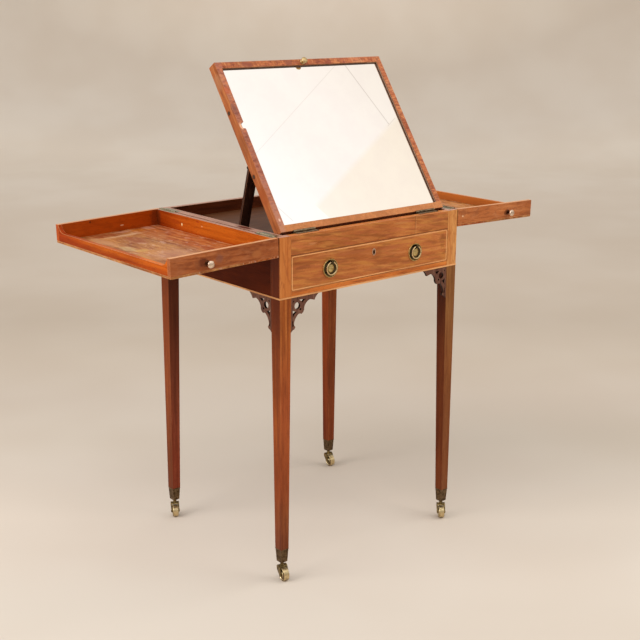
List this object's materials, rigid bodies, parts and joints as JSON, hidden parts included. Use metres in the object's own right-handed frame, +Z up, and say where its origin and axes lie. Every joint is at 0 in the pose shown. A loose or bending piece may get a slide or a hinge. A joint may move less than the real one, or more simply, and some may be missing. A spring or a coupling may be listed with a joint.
{
  "type": "dressing table",
  "caption": "Dressing table on tapered legs and castors, with two hinged tray lids, a framed mirror on a folding prop and a drawer.",
  "frame": {"origin": "on the floor at the middle of the open table's plan", "axes": "+X to the right along the front, +Y from the drawer front to the back, +Z up"},
  "size_m": [1.0838, 0.4802, 1.1457],
  "materials": {
    "leg_wood": "waxed red-brown wood",
    "case_wood": "waxed red-brown wood",
    "front_veneer": "polished figured veneer",
    "tray_wood": "polished wood",
    "tray_board_wood": "worn flat-sawn board",
    "mirror_wood": "polished wood",
    "inner_wood": "bare secondary wood",
    "prop_wood": "dark stained wood",
    "stringing": "light inlaid line",
    "bracket_wood": "dark pierced wood",
    "brass": "aged polished brass",
    "dark_brass": "darkened brass",
    "iron": "plain iron",
    "mirror_glass": "silvered glass"
  },
  "bodies": {
    "carcass": {"leg_front_left": "leg_wood", "leg_front_right": "leg_wood", "leg_back_left": "leg_wood", "leg_back_right": "leg_wood", "side_left": "case_wood", "side_right": "case_wood", "back_panel": "case_wood", "frieze_rail": "front_veneer", "lower_rail": "case_wood", "edge_stringing": "stringing", "well_floor": "inner_wood", "prop_racks": "inner_wood", "mirror_bearers": "inner_wood", "drawer_runners": "inner_wood", "tray_hinge_leaves": "brass", "mirror_hinge_fixed": "brass", "castor_sockets": "dark_brass", "bracket_front_left": "bracket_wood", "bracket_front_right": "bracket_wood", "bracket_side_left": "bracket_wood", "bracket_side_right": "bracket_wood"},
    "drawer": {"drawer_front": "front_veneer", "drawer_stringing": "stringing", "keyhole_escutcheon": "brass", "drawer_lock": "brass", "drawer_sides": "inner_wood", "drawer_back": "inner_wood", "drawer_bottom": "inner_wood", "pull_plates": "brass"},
    "lock_bolt": {"lock_bolt": "iron"},
    "ring_pull_left": {"ring_pull_left": "brass"},
    "ring_pull_right": {"ring_pull_right": "brass"},
    "left_tray": {"left_tray_board": "tray_board_wood", "left_tray_end_walls": "tray_wood", "left_tray_hinge_wall": "tray_wood", "left_tray_outer_wall": "tray_wood", "left_tray_knob": "brass", "left_tray_hinges": "brass"},
    "right_tray": {"right_tray_board": "tray_board_wood", "right_tray_end_walls": "tray_wood", "right_tray_hinge_wall": "tray_wood", "right_tray_outer_wall": "tray_wood", "right_tray_knob": "brass", "right_tray_hinges": "brass"},
    "mirror": {"mirror_frame": "mirror_wood", "mirror_glass": "mirror_glass", "mirror_backboard": "inner_wood", "mirror_knob": "brass", "mirror_hinge_moving": "brass", "prop_pivots": "iron"},
    "prop": {"prop_legs": "prop_wood", "prop_cross_bar": "prop_wood"},
    "castor_fork_front_left": {"castor_fork_front_left": "brass"},
    "castor_wheel_front_left": {"castor_wheel_front_left": "brass"},
    "castor_fork_front_right": {"castor_fork_front_right": "brass"},
    "castor_wheel_front_right": {"castor_wheel_front_right": "brass"},
    "castor_fork_back_left": {"castor_fork_back_left": "brass"},
    "castor_wheel_back_left": {"castor_wheel_back_left": "brass"},
    "castor_fork_back_right": {"castor_fork_back_right": "brass"},
    "castor_wheel_back_right": {"castor_wheel_back_right": "brass"}
  },
  "joints": [
    {"name": "drawer_slide", "type": "slide", "parent": "carcass", "child": "drawer", "axis": [0, -1, 0], "range_m": [0, 0.3]},
    {"name": "lock_bolt_throw", "type": "slide", "parent": "drawer", "child": "lock_bolt", "axis": [0, 0, 1], "range_m": [0, 0.005]},
    {"name": "ring_pull_swing_left", "type": "hinge", "parent": "drawer", "child": "ring_pull_left", "pos_m": [-0.1298, -0.22895, 0.7233], "axis": [-1, 0, 0], "range_deg": [0, 165]},
    {"name": "ring_pull_swing_right", "type": "hinge", "parent": "drawer", "child": "ring_pull_right", "pos_m": [0.1298, -0.22895, 0.7233], "axis": [-1, 0, 0], "range_deg": [0, 165]},
    {"name": "left_tray_hinge", "type": "hinge", "parent": "carcass", "child": "left_tray", "pos_m": [-0.2715, 0, 0.7943], "axis": [0, 1, 0], "range_deg": [0, 95]},
    {"name": "right_tray_hinge", "type": "hinge", "parent": "carcass", "child": "right_tray", "pos_m": [0.2715, 0, 0.7943], "axis": [0, -1, 0], "range_deg": [0, 95]},
    {"name": "mirror_tilt", "type": "hinge", "parent": "carcass", "child": "mirror", "pos_m": [0, -0.19935, 0.7975], "axis": [-1, 0, 0], "range_deg": [0, 55.7]},
    {"name": "prop_fold", "type": "hinge", "parent": "mirror", "child": "prop", "pos_m": [0, -0.08075, 0.92274], "axis": [1, 0, 0], "range_deg": [0, 130.3]},
    {"name": "castor_swivel_front_left", "type": "hinge", "parent": "carcass", "child": "castor_fork_front_left", "pos_m": [-0.2592, -0.21175, 0.0416], "axis": [0, 0, 1], "continuous": true},
    {"name": "castor_roll_front_left", "type": "hinge", "parent": "castor_fork_front_left", "child": "castor_wheel_front_left", "pos_m": [-0.26128, -0.22153, 0.0152], "axis": [0.9781, -0.2079, 0], "continuous": true},
    {"name": "castor_swivel_front_right", "type": "hinge", "parent": "carcass", "child": "castor_fork_front_right", "pos_m": [0.2592, -0.21175, 0.0416], "axis": [0, 0, 1], "continuous": true},
    {"name": "castor_roll_front_right", "type": "hinge", "parent": "castor_fork_front_right", "child": "castor_wheel_front_right", "pos_m": [0.25304, -0.21963, 0.0152], "axis": [0.788, -0.6157, 0], "continuous": true},
    {"name": "castor_swivel_back_left", "type": "hinge", "parent": "carcass", "child": "castor_fork_back_left", "pos_m": [-0.2592, 0.22865, 0.0416], "axis": [0, 0, 1], "continuous": true},
    {"name": "castor_roll_back_left", "type": "hinge", "parent": "castor_fork_back_left", "child": "castor_wheel_back_left", "pos_m": [-0.26374, 0.21974, 0.0152], "axis": [0.891, -0.454, 0], "continuous": true},
    {"name": "castor_swivel_back_right", "type": "hinge", "parent": "carcass", "child": "castor_fork_back_right", "pos_m": [0.2592, 0.22865, 0.0416], "axis": [0, 0, 1], "continuous": true},
    {"name": "castor_roll_back_right", "type": "hinge", "parent": "castor_fork_back_right", "child": "castor_wheel_back_right", "pos_m": [0.25746, 0.2188, 0.0152], "axis": [0.9848, -0.1736, 0], "continuous": true}
  ],
  "couplings": [
    {"joint": "prop_fold", "follows": "mirror_tilt", "ratio": 2.3393}
  ]
}
